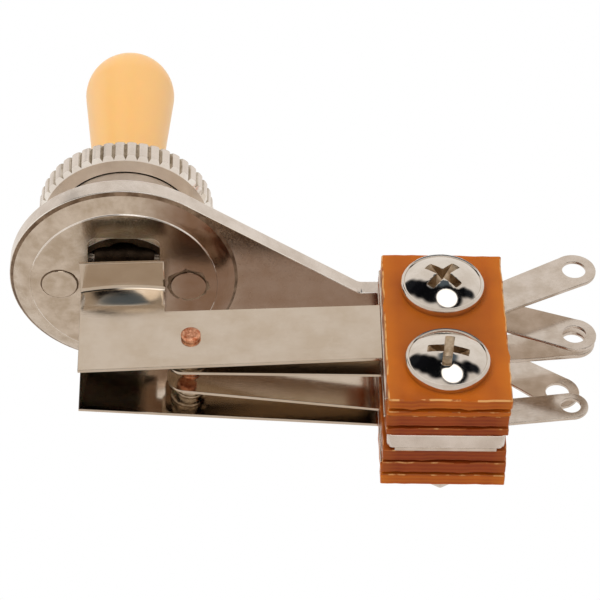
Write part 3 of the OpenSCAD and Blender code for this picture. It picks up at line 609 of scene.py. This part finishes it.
# Insulating plates: paper laminate bonded with phenolic resin, sawn to size, so that the faces
# are smooth and the edges are rough, with pale chipped corners.
def laminate(name, face, deep, edge, end_tone):
    """Phenolic laminate: mottled brown-orange, with its paper layers showing on sawn edges."""
    made, tree, shader, place = shaded(name)
    cloud = add(tree, "TexNoise", {"Vector": place, "Scale": 1 / (5 * MM), "Detail": 4.0})
    tint = add(tree, "ValToRGB", {"Fac": cloud.outputs["Fac"]})
    tint.color_ramp.elements[0].position = 0.35
    tint.color_ramp.elements[0].color = linear(deep)
    tint.color_ramp.elements[1].position = 0.65
    tint.color_ramp.elements[1].color = linear(face)
    # A painted shadow of the screws darkens the board round a point between them; the board is also lighter
    # towards its two ends.
    middle = add(tree, "VectorMath", {
        0: place, 1: (32.3 * MM, -8 * MM, -23.5 * MM)}, operation="DISTANCE")
    screw_shadow_amount = add(tree, "MapRange", {
        "Value": middle.outputs["Value"], "From Min": 3.5 * MM, "From Max": 7.5 * MM,
        "To Min": 0.45, "To Max": 0.0})
    board = add(tree, "Mix", {
        0: screw_shadow_amount.outputs[0], 6: tint.outputs[0], 7: linear("#6E3214")}, data_type="RGBA")
    across = add(tree, "SeparateXYZ", {0: place}).outputs["X"]
    off = add(tree, "Math", {0: across, 1: 32.325 * MM}, operation="SUBTRACT").outputs[0]
    off = add(tree, "Math", {0: off}, operation="ABSOLUTE").outputs[0]
    toward_ends = add(tree, "MapRange", {
        "Value": off, "From Min": 4.6 * MM, "From Max": 6.3 * MM, "To Min": 0.0, "To Max": 0.55})
    board = add(tree, "Mix", {
        0: toward_ends.outputs[0], 6: board.outputs[2], 7: linear(end_tone)}, data_type="RGBA")
    layers = add(tree, "TexWave", {
        "Vector": place, "Scale": 1 / (0.25 * MM) / 6.3, "Distortion": 1.5, "Detail": 2.0,
        "Detail Scale": 300.0}, bands_direction="Y")
    sawn = add(tree, "MapRange", {
        "Value": layers.outputs["Fac"], "To Min": 0.0, "To Max": 0.35})
    layered = add(tree, "Mix", {
        0: sawn.outputs[0], 6: board.outputs[2], 7: linear(edge)}, data_type="RGBA")
    tree.links.new(layered.outputs[2], shader.inputs["Base Color"])
    grit = add(tree, "TexNoise", {"Vector": place, "Scale": 1 / (0.3 * MM), "Detail": 5.0})
    relief = add(tree, "Bump", {
        "Height": grit.outputs["Fac"], "Strength": 0.15, "Distance": 0.03 * MM})
    tree.links.new(relief.outputs[0], shader.inputs["Normal"])
    shader.inputs["Roughness"].default_value = 0.38
    shader.inputs["IOR"].default_value = 1.55
    shader.inputs["Specular IOR Level"].default_value = 0.15
    shader.inputs["Subsurface Weight"].default_value = 0.15
    shader.inputs["Subsurface Radius"].default_value = (1.0, 0.4, 0.1)
    shader.inputs["Subsurface Scale"].default_value = 1.0 * MM
    return made


def chipped_edge(name, broken):
    """The laminate's broken corners: pale dusty flakes over the brown, broken being their share."""
    made, tree, shader, place = shaded(name)
    chips = add(tree, "TexNoise", {"Vector": place, "Scale": 1 / (0.9 * MM), "Detail": 5.0})
    tint = add(tree, "ValToRGB", {"Fac": chips.outputs["Fac"]})
    tint.color_ramp.elements[0].position = 0.85 - broken
    tint.color_ramp.elements[0].color = linear("#A85A20")
    tint.color_ramp.elements[1].position = 0.97 - broken
    tint.color_ramp.elements[1].color = linear("#DDA868")
    tree.links.new(tint.outputs[0], shader.inputs["Base Color"])
    shader.inputs["Roughness"].default_value = 0.75
    return made


def saw_unevenly(shape, seed, deep):
    """Wavers a plate's outline inwards by up to deep mm in short steps; returns its edges."""
    corner = [Vector([way(v.co[k] for v in shape.verts) for k in range(3)]) for way in (min, max)]
    for k, step in ((0, 0.8), (2, 0.9)):
        for i in range(1, int((corner[1][k] - corner[0][k]) / (step * MM))):
            spot, normal = corner[0].copy(), Vector((0, 0, 0))
            spot[k] += i * step * MM
            normal[k] = 1
            bmesh.ops.bisect_plane(
                shape, geom=list(shape.verts) + list(shape.edges) + list(shape.faces),
                dist=1e-7, plane_co=spot, plane_no=normal)
    outline = set()
    for v in shape.verts:
        rest = v.co.copy()
        for k in (0, 2):
            for end, way in ((corner[0][k], 1), (corner[1][k], -1)):
                if abs(rest[k] - end) < 1e-6:
                    waver = noise.noise(Vector((rest[2 - k] * 1100, seed * 7.3, k * 5 + way)))
                    v.co[k] += way * min(1.0, max(0.0, 0.5 + waver)) * deep * MM
                    outline.add(v)
    return [e for e in shape.edges if outline.issuperset(e.verts)]


light_board = laminate("phenolic_laminate", "#B85C12", "#9A4614", "#CC7A20", "#D27C22")
dark_board = laminate("aged_phenolic_laminate", "#944014", "#7C300E", "#AC5820", "#B4641E")
worn_chips = chipped_edge("broken_laminate_edge", 0.48)
few_chips = chipped_edge("chipped_laminate_edge", 0.33)
for i in range(1, 8):
    board = light_board if i in (1, 2, 7) else dark_board
    plate = solid_of(f"insulator_{i}")
    outline = saw_unevenly(plate, i, 0.13)
    soften(plate, (0.14 if i == 1 else 0.09) * MM, angle=40, segments=1, edges=outline)
    for face in plate.faces:
        slant = max(abs(c) for c in face.normal)
        face.material_index = 1 if slant < 0.85 and face.calc_area() > 0 and abs(face.normal.y) > 0.3 else 0
    shown(f"laminate_plate_{i}", plate, [board, worn_chips if i == 1 else few_chips], "base", [f"insulator_{i}"])


# Screw sleeves: thin tubes of insulating plastic that keep the screws off the leaves and lugs.
def tube_plastic():
    """Extruded insulating tube: dull tan, with faint draw lines."""
    made, tree, shader, place = shaded("extruded_tube")
    lines = add(tree, "TexNoise", {"Vector": place, "Scale": 1 / (0.5 * MM), "Detail": 2.0})
    tint = add(tree, "ValToRGB", {"Fac": lines.outputs["Fac"]})
    tint.color_ramp.elements[0].color = linear("#B49468")
    tint.color_ramp.elements[1].color = linear("#C9AC80")
    tree.links.new(tint.outputs[0], shader.inputs["Base Color"])
    shader.inputs["Roughness"].default_value = 0.6
    return made


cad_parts["screw_sleeves"].data.materials.clear()
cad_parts["screw_sleeves"].data.materials.append(tube_plastic())


# Stack screws: cold-headed steel with a low domed head, a thin rim and a cross recess, bright
# nickel plated; they clamp the whole stack on two hexagon nuts.
screw_plate = nickel_plate(
    "bright_nickel", "#E0DAD2", "#D3CBC1", 0.07, cloud=2, grain=0.5, depth=0.03)
# The recess's darker, browner colour is painted shade; its higher roughness is the punched finish.
recess_shade_plate = nickel_plate("nickel_punched_painted_shade", "#C9B79F", "#A89176", 0.34, cloud=0.6, depth=0.3)
screws = solid_of("stack_screws")
soften(screws, 0.08 * MM, angle=32)
screw_x, screw_heights, seat_y = 32.325, (-18.15, -28.95), -5.775
rim = [(4.10, 0.2), (4.25, 0.35), (4.26, 0.62), (4.17, 0.85), (4.02, 0.95), (3.90, 0.93),
       (3.80, 0.80)]
for height in screw_heights:
    ring = []
    for i in range(72):
        turn = math.tau * i / 72
        ring.append([screws.verts.new(Vector((
            screw_x + r * math.cos(turn), seat_y - rise, height + r * math.sin(turn))) * MM)
            for r, rise in rim])
    made = []
    for this, following in zip(ring, ring[1:] + ring[:1]):
        for a in range(len(rim) - 1):
            made.append(screws.faces.new((this[a], following[a], following[a + 1], this[a + 1])))
    for face in made:
        face.normal_update()
    if made[3].normal.y > 0:
        bmesh.ops.reverse_faces(screws, faces=made)
for face in screws.faces:
    middle = face.calc_center_median()
    depth = min(math.hypot(middle.x / MM - screw_x, middle.z / MM - h) for h in screw_heights)
    sunk = seat_y - 1.55 < middle.y / MM < seat_y
    inside = depth < 2.4 and middle.y / MM < seat_y and (face.normal.y > -0.8 or sunk)
    face.material_index = int(inside)
shown("stack_screw_pair", screws, [screw_plate, recess_shade_plate], "base",
      ["stack_screws"])

nuts = solid_of("stack_nuts")
soften(nuts, 0.2 * MM, angle=25)
shown("hex_nut_pair", nuts, [screw_plate], "base", ["stack_nuts"])
